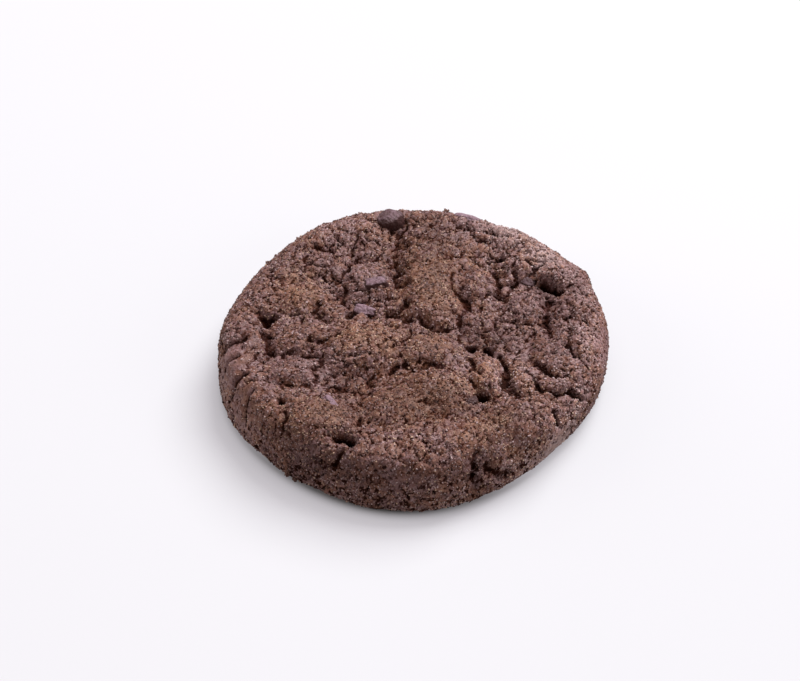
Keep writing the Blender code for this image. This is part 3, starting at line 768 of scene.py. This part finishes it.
def plates(web, size, place, stirred, kind, seed, low):
    """Flat tops parted by narrow creases, in mm around 0, and how near the crease is."""
    spot = web.vector("ADD", stirred, (seed, -seed, seed))
    edge = web.cells(spot, size[kind + " size"], "DISTANCE_TO_EDGE")["Distance"]
    top = web.minus(web.span(edge, 0.0, 0.26), 0.7)
    height = web.times(top, size[kind + " height"])
    return web.times(height, in_patches(web, place, seed, low, 1.0)), edge


def cracks(web, size, place, seam, rusty, facing):
    """Cracks along some of the creases, in mm deep, fainter on the wall."""
    crack = web.times(web.span(seam, 0.0, 0.07, 1.0, 0.0), size["Crack depth"])
    crack = web.times(crack, in_patches(web, place, 31.0, 0.0, 1.0), rusty)
    return web.times(crack, web.span(facing, 0.4, 0.9, 0.15, 1.0))


def pores(web, size, stirred, facing):
    """Round pores, in mm deep, more of them on the wall."""
    upright = web.joined(1.0, 1.0, size["Pore stretch"])
    spot = web.vector("MULTIPLY", web.vector("ADD", stirred, (7.0, 7.0, 7.0)), upright)
    cell = web.cells(spot, size["Pore spacing"])
    lot = web.axes(cell["Color"])[0]
    lot = web.plus(lot, web.span(facing, 0.3, 0.8, size["Wall pores"], 0.0))
    width = web.span(lot, 0.55, 1.0, 0.02, 0.34)
    return web.times(web.span(cell["Distance"], 0.0, width, 1.0, 0.0), size["Pore depth"])


def flakes(web, size, stirred):
    """The gaps under thin flakes that run along the rim, in mm deep."""
    x, y, z = web.axes(stirred)
    outwards = web.add("ShaderNodeVectorMath", {0: stirred}, operation="LENGTH").outputs[1]
    around = web.times(web.math("ARCTAN2", y, x), RADIUS * FLAKE_STRETCH)
    layer = web.minus(web.noise(web.joined(outwards, around, z), 0.5, 3.0)[0], 0.5)
    gap = web.span(web.math("ABSOLUTE", layer), 0.0, 0.035, 1.0, 0.0)
    return web.times(gap, size["Flake depth"], web.named("flaky"))


def with_hollows(web, geometry):
    """The geometry, which stores how far each point lies below what is round it, in mm."""
    position = web.position()
    for name, rounds in HOLLOWS.items():
        inputs = {0: position, 1: rounds}
        smooth = web.add("GeometryNodeBlurAttribute", inputs, data_type="FLOAT_VECTOR").outputs[0]
        depth = web.dot(web.vector("SUBTRACT", smooth, position), web.normal())
        geometry = web.stored(geometry, name, web.over(depth, MM))
    return geometry


def fine_relief_tree():
    """Cobbles and knobs with flat tops and creases between them, round grains, cracks, flakes and pores."""
    inputs = [("Geometry", GEOMETRY, None)] + size_inputs(FINE_RELIEF)
    output = ("Geometry", GEOMETRY)
    web, size, result = new_tree("fine relief of dough", "GeometryNodeTree", inputs, output)
    place = web.scaled(web.position(), 1.0 / MM)
    stir = web.scaled(web.stir(place, 0.55, 3.0), web.times(size["Warp"], 3.0))
    stirred = web.vector("ADD", place, stir)
    facing = web.axes(web.normal())[2]
    rusty = web.span(web.named("rusty"), 0.2, 0.8, 1.0, size["Rusty share"])

    cobbles, seam = plates(web, size, place, stirred, "Cobble", 3.0, 0.3)
    knobs, _ = plates(web, size, place, stirred, "Knob", 11.0, 0.4)
    near = web.cells(place, size["Grain size"])["Distance"]
    grains = web.times(web.minus(0.5, web.times(near, near, 1.7)), size["Grain height"])
    bumps = web.plus(web.times(cobbles, rusty), knobs, grains)
    bumps = web.times(bumps, web.span(facing, 0.45, 0.95, size["Wall share"], 1.0))
    crack = cracks(web, size, place, seam, rusty, facing)
    holes = web.plus(crack, pores(web, size, stirred, facing), flakes(web, size, stirred))
    total = web.times(web.minus(bumps, holes), web.span(web.named("calm"), 0.1, 0.7, 1.0, 0.35))
    total = web.times(total, web.span(web.axes(place)[2], 0.0, 1.6, 0.12, 1.0))
    flat = web.times(size["Underside pore depth"], -1.0, web.over(holes, size["Pore depth"]))
    choice = {0: web.named("under"), 2: total, 3: flat}
    total = web.add("ShaderNodeMix", choice, data_type="FLOAT").outputs[0]

    offset = web.scaled(web.normal(), web.times(total, MM))
    dough = web.moved(size["Geometry"], "Offset", offset)
    x, y, z = web.axes(web.position())
    dough = web.moved(dough, "Position", web.joined(x, y, web.math("MAXIMUM", z, 0.0)))
    web.feed(result, with_hollows(web, dough))
    return web.tree


# Grains and crumbs, in millimetres unless the name says otherwise. Rusty wanted is from -1, for those only
# where the crumb isn't rusty, to 1, for those only where it is. Cells counts grains along the bake's map.
SCATTER_NAMES = (
    "Per square mm", "Smallest", "Largest", "Sink", "Rusty wanted", "Share on the side", "Cells", "Seed",
)
SCATTERED = {
    "cocoa_grains": (1.88, 0.28, 0.5, 0.34, 0.0, 1.0, 128.0, 3),
    "tan_grains": (1.9, 0.24, 0.42, 0.24, 0.8, 1.0, 128.0, 7),
    "violet_grains": (1.31, 0.26, 0.46, 0.3, -0.6, 1.0, 128.0, 12),
    "dusty_grains": (0.8, 0.26, 0.48, 0.31, -0.45, 1.0, 128.0, 29),
    "crumb_lumps": (0.16, 0.5, 1.0, 0.36, 0.0, 0.1, 48.0, 21),
}
ROUND_KINDS = ("crumb_lumps",)


def density(web, size, place):
    """How many grains lie on each square metre."""
    some = web.noise(web.vector("ADD", place, size["Seed"]), 0.16, 2.0)[0]
    patchy = web.span(some, 0.3, 0.62, 0.45, 1.3)
    leaning = web.times(size["Rusty wanted"], web.minus(web.named("rusty"), 0.5))
    wanted = web.math("MAXIMUM", web.plus(1.0, web.times(leaning, 1.6)), 0.0)
    rough = web.span(web.named("calm"), 0.1, 0.7, 1.0, 0.25)
    high = web.span(web.axes(place)[2], 0.5, 1.5)
    facing = web.axes(web.normal())[2]
    side = web.span(facing, 0.7, 0.95, size["Share on the side"], 1.0)
    return web.times(size["Per square mm"], 1.0 / MM**2, patchy, wanted, rough, high, side)


def single_grain(web, round_shape):
    """A grain about one unit wide, which stores its points' own places."""
    if round_shape:
        grain = web.add("GeometryNodeMeshIcoSphere", {"Radius": 0.5, "Subdivisions": 2}).outputs[0]
    else:
        grain = web.add("GeometryNodeMeshCube", {"Size": (0.8, 0.8, 0.8)}).outputs[0]
    return web.stored(grain, "own place", web.position(), "FLOAT_VECTOR")


def place_on_map(web, size):
    """A cell of the bake's map for each grain, in which its lower points lie outside its upper ones."""
    x, y, z = web.axes(web.named("own place", "FLOAT_VECTOR"))
    narrow = web.minus(0.7, web.times(z, 0.4))
    row = web.math("FLOOR", web.over(web.named("cell"), size["Cells"]))
    column = web.math("MODULO", web.named("cell"), size["Cells"])
    spots = []
    for number, axis in ((column, x), (row, y)):
        inside = web.plus(web.times(axis, narrow), 0.5)
        spots.append(web.over(web.plus(number, inside), size["Cells"]))
    return web.joined(*spots)


def scatter_tree(name, sizes, round_shape):
    """Grains strewn over the dough: each is turned, stretched, sunk and toned by its own draw."""
    numbers = {key: value for key, value in sizes.items() if key != "Seed"}
    inputs = [
        ("Geometry", GEOMETRY, None),
        ("Material", MATERIAL, None),
        ("Seed", WHOLE_NUMBER, sizes["Seed"]),
    ] + size_inputs(numbers)
    web, size, result = new_tree("strewn " + name, "GeometryNodeTree", inputs, ("Geometry", GEOMETRY))
    place = web.scaled(web.position(), 1.0 / MM)
    inputs = {"Mesh": size["Geometry"], "Density": density(web, size, place), "Seed": size["Seed"]}
    spread = web.add("GeometryNodeDistributePointsOnFaces", inputs, distribute_method="RANDOM").outputs

    breadth = web.times(web.drawn(0.0, 1.0, 1), web.drawn(0.3, 1.0, 2))
    reach = web.minus(size["Largest"], size["Smallest"])
    breadth = web.times(web.plus(size["Smallest"], web.times(breadth, reach)), MM)
    lift = web.minus(web.drawn(-0.2, 0.3, 3), size["Sink"])
    points = web.stored(spread[0], "breadth", breadth)
    points = web.stored(points, "tone", web.drawn(0.0, 1.0, 4))
    points = web.stored(points, "cell", web.add("GeometryNodeInputIndex").outputs[0])
    points = web.moved(points, "Offset", web.scaled(spread[1], web.times(breadth, lift)))
    turn = [web.drawn(0.0, math.tau, 5 + axis) for axis in range(3)]
    stretch = [web.times(web.named("breadth"), web.drawn(0.7, 1.2, 8 + axis)) for axis in range(3)]
    inputs = {
        "Points": points,
        "Instance": single_grain(web, round_shape),
        "Rotation": web.joined(*turn),
        "Scale": web.joined(*stretch),
    }
    strewn = web.add("GeometryNodeInstanceOnPoints", inputs).outputs[0]

    real = web.add("GeometryNodeRealizeInstances", {"Geometry": strewn}).outputs[0]
    wobble = web.scaled(web.stir(place, 3.1, 2.0), web.times(web.named("breadth"), 0.55))
    real = web.moved(real, "Offset", wobble)
    real = web.stored(real, "OFBake", place_on_map(web, size), "FLOAT2", "CORNER")
    inputs = {"Geometry": real, "Shade Smooth": round_shape}
    real = web.add("GeometryNodeSetShadeSmooth", inputs).outputs[0]
    inputs = {"Geometry": real, "Material": size["Material"]}
    web.feed(result, web.add("GeometryNodeSetMaterial", inputs).outputs[0])
    return web.tree


def strew(name, dough, material):
    """One kind of grain over the dough, as one plain mesh."""
    sizes = dict(zip(SCATTER_NAMES, SCATTERED[name]))
    grains = placed(name, dough.data)
    modifier = grains.modifiers.new("strewn", "NODES")
    modifier.node_group = scatter_tree(name, sizes, name in ROUND_KINDS)
    set_inputs(modifier, sizes | {"Material": material})
    return baked(grains)


def make_loose_crumbs(material, profile):
    """Crumbs that cling to the rim and the foot, each a small knobbly lump."""
    mesh = bmesh.new()
    arc = profile[0][-1]
    closeness, height = LOOSE_CRUMB_KNOBS
    for direction, run, size in LOOSE_CRUMBS:
        angle = math.radians(direction)
        place = Vector(skin(np.array([run / arc]), np.array([angle]), profile)[0][0])
        made = bmesh.ops.create_icosphere(mesh, subdivisions=3, radius=0.5)["verts"]
        for vert in made:
            bump = 1.0 + height * noise.noise(vert.co * closeness + place)
            vert.co = (place + vert.co * bump * size) * MM
    tone = mesh.verts.layers.float.new("tone")
    for vert in mesh.verts:
        vert[tone] = LOOSE_CRUMB_TONE
    return finished("loose_crumbs", mesh, material)


def add_grid(mesh, cells, low, high):
    """A square grid in a bmesh, with its places on the bake's map from low to high, and its new points."""
    made = bmesh.ops.create_grid(mesh, x_segments=cells, y_segments=cells, size=1.0)["verts"]
    layer = mesh.loops.layers.uv.verify()
    for face in {face for vert in made for face in vert.link_faces}:
        for loop in face.loops:
            share = (np.array(loop.vert.co[:2]) + 1.0) / 2.0
            loop[layer].uv = low + share * (np.array(high) - low)
    return made


def make_dough(material, profile):
    """The dough: one grid for the top and side, and a coarser one for the underside, sewn at the foot."""
    mesh = bmesh.new()
    mesh.loops.layers.uv.new("OFBake")
    facts = {name: mesh.verts.layers.float.new(name) for name in DOUGH_FACTS}
    top = add_grid(mesh, TOP_CELLS, *TOP_ON_MAP)
    square = np.array([vert.co[:2] for vert in top])
    places, found = skin(*square_to_disc(square), profile)
    for index, vert in enumerate(top):
        vert.co = places[index] * MM
        for name, values in found.items():
            vert[facts[name]] = values[index]
    bottom = add_grid(mesh, TOP_CELLS // CELLS_TO_ONE, *UNDERSIDE_ON_MAP)
    square = np.array([vert.co[:2] for vert in bottom])
    share, angle = square_to_disc(square)
    edge, _ = skin(np.ones(len(angle)), angle, profile)
    middle = -np.array(PLAN_MIDDLE)
    for index, vert in enumerate(bottom):
        plan = middle + share[index] * (edge[index, :2] - middle)
        vert.co = (plan[0] * MM, plan[1] * MM, 0.0)
        vert[facts["under"]] = 1.0
    faces = {face for vert in bottom for face in vert.link_faces}
    bmesh.ops.reverse_faces(mesh, faces=list(faces))
    rim = [vert for vert in mesh.verts if vert.is_boundary]
    bmesh.ops.remove_doubles(mesh, verts=rim, dist=SEWING_DISTANCE * MM)
    gaps = [edge for edge in mesh.edges if edge.is_boundary]
    bmesh.ops.holes_fill(mesh, edges=gaps, sides=CELLS_TO_ONE + 1)
    dough = finished("dough", mesh, material)
    rough = dough.modifiers.new("fine relief", "NODES")
    rough.node_group = fine_relief_tree()
    set_inputs(rough, FINE_RELIEF)
    return baked(dough)


def surface_place(x, y, profile):
    """The skin's place above a place in plan, on the top or shoulder, its direction and its lean."""
    arc, radius, _, lean = profile
    upper = lean <= math.pi / 2
    angle = math.atan2(y, x)
    swell = plan_swell(angle)
    run = np.interp(math.hypot(x, y) / swell, radius[upper], arc[upper])
    place = skin(np.array([run / arc[-1]]), np.array([angle]), profile)[0][0]
    return Vector(place), angle, float(np.interp(run, arc, lean))


def make_chip(name, size, material, profile):
    """A blunt block of chocolate with rounded edges, set into the skin with part of it standing proud."""
    x, y, length, width, height, turn, lean, proud, squareness = size
    place, angle, tilt = surface_place(x, y, profile)
    mesh = bmesh.new()
    bmesh.ops.create_icosphere(mesh, subdivisions=CHIP_FACETS, radius=0.5)
    for vert in mesh.verts:
        way = vert.co.normalized()
        breadth = sum(abs(part) ** squareness for part in way) ** (-1.0 / squareness)
        dent = 1.0
        for (closeness, depth), shift in ((CHIP_DENTS, (x, y, 0.0)), (CHIP_PITS, (y, x, 0.0))):
            dent += depth * noise.noise(vert.co * closeness + Vector(shift))
        vert.co = 0.5 * breadth * dent * Vector((way.x * length, way.y * width, way.z * height))
    facing = Matrix.Rotation(angle, 4, "Z") @ Matrix.Rotation(tilt, 4, "Y")
    facing = facing @ Matrix.Rotation(-angle, 4, "Z")
    own = Euler((math.radians(lean), 0.0, math.radians(turn))).to_matrix().to_4x4()
    centre = place + facing @ Vector((0.0, 0.0, height * (proud - 0.5)))
    whole = Matrix.Scale(MM, 4) @ Matrix.Translation(centre) @ facing @ own
    bmesh.ops.transform(mesh, matrix=whole, verts=mesh.verts)
    # How pale the chip's upper side is painted: real bloom and a painted highlight
    bloom_and_highlight = mesh.verts.layers.float.new("bloom_and_highlight")
    for vert in mesh.verts:
        vert[bloom_and_highlight] = CHIP_BLOOM_AND_HIGHLIGHT[name]
    return finished(name, mesh, material)


def new_material(name):
    material = bpy.data.materials.new(name)
    material.use_nodes = True
    web = Web(material.node_tree)
    return material, web, material.node_tree.nodes["Principled BSDF"].inputs


def crumb_colour_group():
    """Cocoa crumb: each grain has its own brown, over slow drifts from grey-violet to rusty brown."""
    inputs = [
        ("Place", VECTOR, None),
        ("Grain size", FLOAT, 0.5),
        ("Rusty", FLOAT, 0.5),
    ]
    web, given, result = new_tree("cocoa crumb colour", "ShaderNodeTree", inputs, ("Colour", COLOUR))
    place = given["Place"]
    cell = web.cells(place, given["Grain size"])["Color"]
    lot = web.add("ShaderNodeSeparateColor", {0: cell}).outputs
    drift = web.span(web.noise(place, 0.14, 3.0)[0], 0.35, 0.65, -0.35, 0.35)
    speck = web.wander(place, 0.55, -0.5, 0.5)
    rusty = web.plus(drift, speck, given["Rusty"])
    brown = web.mix(lot[0], *CRUMB_BROWN)
    warm = web.mix(lot[1], *CRUMB_RUSTY)
    violet = web.mix(lot[2], *CRUMB_VIOLET)
    base = web.mix(web.span(rusty, 0.4, 1.0, 0.0, 0.8), brown, warm)
    web.feed(result, web.mix(web.span(rusty, -0.35, 0.3, 0.85, 0.0), base, violet))
    return web.tree


def painted_shade_group():
    """How much painted shade darkens a place, from 0 to 1: by how low it lies, and in small painted pores and
    crevices.
    """
    inputs = [
        ("Place", VECTOR, None),
        ("Hollow", FLOAT, 0.0),
        ("Hollow dark", FLOAT, 0.6),
        ("Dip", FLOAT, 0.0),
        ("Gully", FLOAT, 0.0),
        ("Clump size", FLOAT, 1.3),
        ("Crevice width", FLOAT, 0.2),
        ("Crevice dark", FLOAT, 0.8),
        ("Pore spacing", FLOAT, 1.3),
        ("Pore stretch", FLOAT, 0.5),
        ("Pored share", FLOAT, 0.5),
    ]
    web, given, result = new_tree("painted shade in hollows", "ShaderNodeTree", inputs, ("Dark", FLOAT))
    place = given["Place"]
    hollow = web.span(given["Hollow"], 0.01, 0.12, 0.0, given["Hollow dark"])
    dip = web.span(given["Dip"], 0.05, 0.5, 0.0, 0.74)
    gully = web.span(given["Gully"], 1.1, 2.6, 0.0, 0.96)
    stir = web.stir(place, 1.3, 2.0)
    upright = web.joined(1.0, 1.0, given["Pore stretch"])
    spot = web.vector("MULTIPLY", web.vector("ADD", place, web.scaled(stir, 1.3)), upright)
    cell = web.cells(spot, given["Pore spacing"])
    lot = web.add("ShaderNodeSeparateColor", {0: cell["Color"]}).outputs[0]
    width = web.span(lot, web.minus(1.0, given["Pored share"]), 1.0, 0.0, 0.36)
    pore = web.span(cell["Distance"], web.times(width, 0.5), width, 0.95, 0.0)
    pore = web.times(pore, web.span(width, 0.02, 0.08))
    edge = web.cells(spot, given["Clump size"], "DISTANCE_TO_EDGE")["Distance"]
    open_share = web.span(web.noise(place, 0.8, 2.0)[0], 0.45, 0.7)
    wide = web.times(web.over(given["Crevice width"], given["Clump size"]), open_share)
    crevice = web.span(edge, web.times(wide, 0.3), web.plus(wide, 0.01), given["Crevice dark"], 0.0)
    crevice = web.times(crevice, web.span(open_share, 0.0, 0.3))
    light = web.times(*[web.minus(1.0, share) for share in (hollow, dip, gully, pore, crevice)])
    web.feed(result, web.minus(1.0, light))
    return web.tree


def sand_height_group():
    """Height of the finest sandy grain, from 0 to 1, for a bump."""
    inputs = [("Place", VECTOR, None), ("Grain size", FLOAT, 0.4)]
    web, given, result = new_tree("sandy grain height", "ShaderNodeTree", inputs, ("Height", FLOAT))
    near = web.cells(given["Place"], given["Grain size"])["Distance"]
    fine = web.noise(given["Place"], 4.5, 3.0, 0.6)[0]
    web.feed(result, web.plus(web.minus(1.0, near), web.times(fine, 0.6)))
    return web.tree


def place_in_mm(web):
    return web.scaled(web.add("ShaderNodeTexCoord").outputs["Object"], 1.0 / MM)


# How strongly the painted shade shows in hollows, pores and crevices, on the top and on the wall
PAINTED_SHADE_ON_TOP_AND_WALL = {
    "Hollow dark": (0.66, 0.9),
    "Pored share": (0.2, 0.95),
    "Crevice dark": (0.5, 0.97),
    "Crevice width": (0.16, 0.3),
}


def on_wall(web, on_top, on_side):
    """One value on the top that becomes another on the wall."""
    return web.span(web.read("side"), 0.4, 0.9, on_top, on_side)


def with_painted_light_and_shade(web, base, shade, deep, place):
    """A colour toned by its zone (own tone and painted light and shade), paled by dust and painted sheen,
    with painted shade in hollows.
    """
    inputs = {name: on_wall(web, *pair) for name, pair in PAINTED_SHADE_ON_TOP_AND_WALL.items()}
    calm = web.span(web.read("calm"), 0.2, 0.7, 1.0, 0.35)
    inputs["Crevice width"] = web.times(calm, inputs["Crevice width"])
    inputs["Place"] = place
    for name in ("Hollow", "Dip", "Gully"):
        inputs[name] = web.read(name.lower())
    dark = web.add("ShaderNodeGroup", inputs, node_tree=shade).outputs[0]
    # The zone's tone: partly the crumb's own, partly painted light and painted shade
    lighter = web.read("lighter")
    mottled = web.wander(place, 0.75, 0.70, 1.06, 4.0, 0.65)
    tone = web.plus(web.math("MINIMUM", lighter, 0.45), mottled)
    cool = web.math("POWER", tone, 1.2)
    toned = web.mix(1.0, base, web.joined(tone, cool, cool), "MULTIPLY")
    # Paled towards dust that is partly painted sheen
    dust_and_painted_sheen = web.mix(web.span(lighter, 0.3, 1.0, 0.0, 0.5), toned, PALE_DUST_AND_PAINTED_SHEEN)
    # Painted shade darkens the colour towards the deep colour in hollows, pores and crevices
    return web.mix(dark, dust_and_painted_sheen, deep), dark


def dull_shine(web, shader, dark):
    """A soft, dull shine over the crumb, gone where the dough lies low."""
    web.feed(shader["Coat Weight"], web.span(dark, 0.05, 0.4, 0.65, 0.0))
    shader["Coat Roughness"].default_value = 0.6
    shader["Specular IOR Level"].default_value = 0.0


def roughen(web, shader, sand, inputs, depth):
    """A bump of the finest sandy grain, its depth in millimetres."""
    grain = web.add("ShaderNodeGroup", inputs, node_tree=sand).outputs[0]
    bump = web.add("ShaderNodeBump", {"Height": grain, "Strength": 0.9, "Distance": depth * MM})
    web.feed(shader["Normal"], bump.outputs[0])


def make_dough_material(colours, sand, shade):
    material, web, shader = new_material("baked cocoa dough")
    place = place_in_mm(web)
    inputs = {"Place": place, "Rusty": web.read("rusty")}
    colour = web.add("ShaderNodeGroup", inputs, node_tree=colours).outputs[0]
    base, dark = with_painted_light_and_shade(web, colour, shade, PAINTED_SHADE_IN_DOUGH, place)
    web.feed(shader["Base Color"], base)
    roughen(web, shader, sand, {"Place": place}, 0.15)
    web.feed(shader["Roughness"], web.wander(place, 1.1, 0.55, 0.8))
    dull_shine(web, shader, dark)
    return material


def make_grain_material(name, dark, light, shade):
    """Crumb of one kind: every grain has its own tone between a dark and a light colour."""
    material, web, shader = new_material(name)
    place = place_in_mm(web)
    own = web.read("tone")
    tone = web.plus(web.minus(own, 0.5), web.wander(place, 2.4, -0.15, 0.15))
    tone = web.plus(web.times(tone, on_wall(web, 1.5, 2.6)), 0.5)
    base = web.mix(web.span(tone, 0.0, 1.0), dark, light)
    base, dark = with_painted_light_and_shade(web, base, shade, PAINTED_SHADE_IN_GRAINS, place)
    web.feed(shader["Base Color"], base)
    web.feed(shader["Roughness"], web.span(own, 0.2, 0.9, 0.75, 0.5))
    dull_shine(web, shader, dark)
    return material


def make_chocolate_material(sand):
    """Dark chocolate with a grey-violet bloom, painted paler on faces turned up: partly real bloom, partly a
    painted highlight.
    """
    material, web, shader = new_material("dark chocolate")
    place = place_in_mm(web)
    bloom = web.wander(place, 1.1, -0.4, 0.4, 4.0, 0.7)
    up = web.axes(web.add("ShaderNodeNewGeometry").outputs["Normal"])[2]
    # Faces turned up are painted paler: bloom and a painted highlight
    pale = web.times(web.plus(web.span(up, 0.3, 0.85, -0.15, 0.65), bloom), web.read("bloom_and_highlight"))
    base = web.mix(web.span(pale, 0.0, 1.0), DARK_CHOCOLATE, CHOCOLATE_BLOOM_AND_HIGHLIGHT)
    web.feed(shader["Base Color"], base)
    web.feed(shader["Roughness"], web.span(bloom, -0.3, 0.3, 0.45, 0.6))
    shader["Specular IOR Level"].default_value = 0.35
    roughen(web, shader, sand, {"Place": place, "Grain size": 0.7}, 0.3)
    return material


def make_floor_material():
    """A pale floor that glows a little for the camera alone: painted light that lifts it and its shadows."""
    material, web, shader = new_material("pale floor")
    shader["Base Color"].default_value = FLOOR_WHITE
    shader["Roughness"].default_value = 0.9
    shader["Specular IOR Level"].default_value = 0.0
    shader["Emission Color"].default_value = FLOOR_PAINTED_GLOW
    seen = web.add("ShaderNodeLightPath").outputs["Is Camera Ray"]
    strength = web.times(web.read("glow"), FLOOR_PAINTED_GLOW_STRENGTH)
    web.feed(shader["Emission Strength"], web.times(seen, strength))
    return material


def make_floor():
    """A plain flat floor in rings round the cookie, which store how much of the glow is left there after the
    painted shadows.
    """
    mesh = bmesh.new()
    glow = mesh.verts.layers.float.new("glow")
    directions = np.linspace(0.0, math.tau, FLOOR_DIRECTIONS, endpoint=False)
    rings = []
    for away, share in PAINTED_CONTACT_SHADOW + ((FLOOR_REACH, 1.0),):
        ring = []
        for angle in directions:
            strong = float(np.interp(math.degrees(angle), *zip(*PAINTED_SHADOW_STRENGTH)))
            width = PAINTED_SHADOW_NARROWEST + (1.0 - PAINTED_SHADOW_NARROWEST) * strong
            reach = RADIUS + plan_swing(angle) - PAINTED_SHADOW_INSET * strong + away * width
            x = reach * math.cos(angle) - PLAN_MIDDLE[0]
            y = reach * math.sin(angle) - PLAN_MIDDLE[1]
            vert = mesh.verts.new(Vector((x, y, -FLOOR_GAP)) * MM)
            shown = 1.0 - (1.0 - share) * strong
            for direction, dim, fade in PAINTED_SIDE_SHADOW:
                towards = max(0.0, math.cos(angle - math.radians(direction)))
                shown -= dim * towards**2 * math.exp(-max(0.0, away) / fade)
            vert[glow] = max(0.0, shown)
            ring.append(vert)
        rings.append(ring)
    mesh.faces.new(rings[0])
    for inner, outer in zip(rings, rings[1:]):
        for index in range(FLOOR_DIRECTIONS):
            after = (index + 1) % FLOOR_DIRECTIONS
            mesh.faces.new((inner[index], outer[index], outer[after], inner[after]))
    floor = finished("floor", mesh, make_floor_material(), smooth=False)


def make_light(name, place, size, power, colour):
    """A soft round light that faces the cookie."""
    data = bpy.data.lights.new(name, "AREA")
    data.shape = "DISK"
    data.size = size
    data.energy = power
    data.color = colour
    light = placed(name, data)
    light.location = place
    light.rotation_euler = Vector(place).to_track_quat("Z", "Y").to_euler()


def make_world():
    world = bpy.data.worlds.new("studio")
    world.use_nodes = True
    ground = world.node_tree.nodes["Background"].inputs
    ground["Color"].default_value = WORLD_COLOUR
    ground["Strength"].default_value = WORLD_STRENGTH
    bpy.context.scene.world = world


def make_camera():
    """The view of the photo."""
    up = Vector((0.0, math.sin(VIEW_ELEVATION), math.cos(VIEW_ELEVATION)))
    back = Vector((0.0, -math.cos(VIEW_ELEVATION), math.sin(VIEW_ELEVATION)))
    middle = Vector((PLAN_MIDDLE[0], PLAN_MIDDLE[1], 0.0))
    aim = Vector(AIM) + AIM_RISE * up - middle
    data = bpy.data.cameras.new("camera")
    data.lens = LENS
    data.sensor_width = FILM_WIDTH
    data.clip_start = 0.01
    data.clip_end = 20.0
    camera = placed("camera", data)
    camera.location = (aim + VIEW_DISTANCE * back) * MM
    camera.rotation_euler = back.to_track_quat("Z", "Y").to_euler()
    bpy.context.scene.camera = camera


def main():
    bpy.context.scene.view_settings.view_transform = "Standard"
    profile = edge_profile()
    sand = sand_height_group()
    shade = painted_shade_group()
    dough = make_dough(make_dough_material(crumb_colour_group(), sand, shade), profile)
    crumbs = {}
    for name, (darkest, lightest) in GRAIN_COLOURS.items():
        crumbs[name] = make_grain_material(name.replace("_", " "), darkest, lightest, shade)
    strewn = [strew(name, dough, crumbs[name]) for name in SCATTERED]
    loose = make_loose_crumbs(crumbs["cocoa_grains"], profile)
    chocolate = make_chocolate_material(sand)
    chips = [make_chip(name, size, chocolate, profile) for name, size in CHIPS.items()]
    pieces = [(piece, "cocoa_dough") for piece in [dough, loose] + strewn]
    for piece, slot in pieces + [(chip, "chocolate") for chip in chips]:
        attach(piece, "root")
        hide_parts("cookie")
    make_floor()
    make_world()
    for name, facts in LIGHTS.items():
        make_light(name, *facts)
    make_camera()


main()
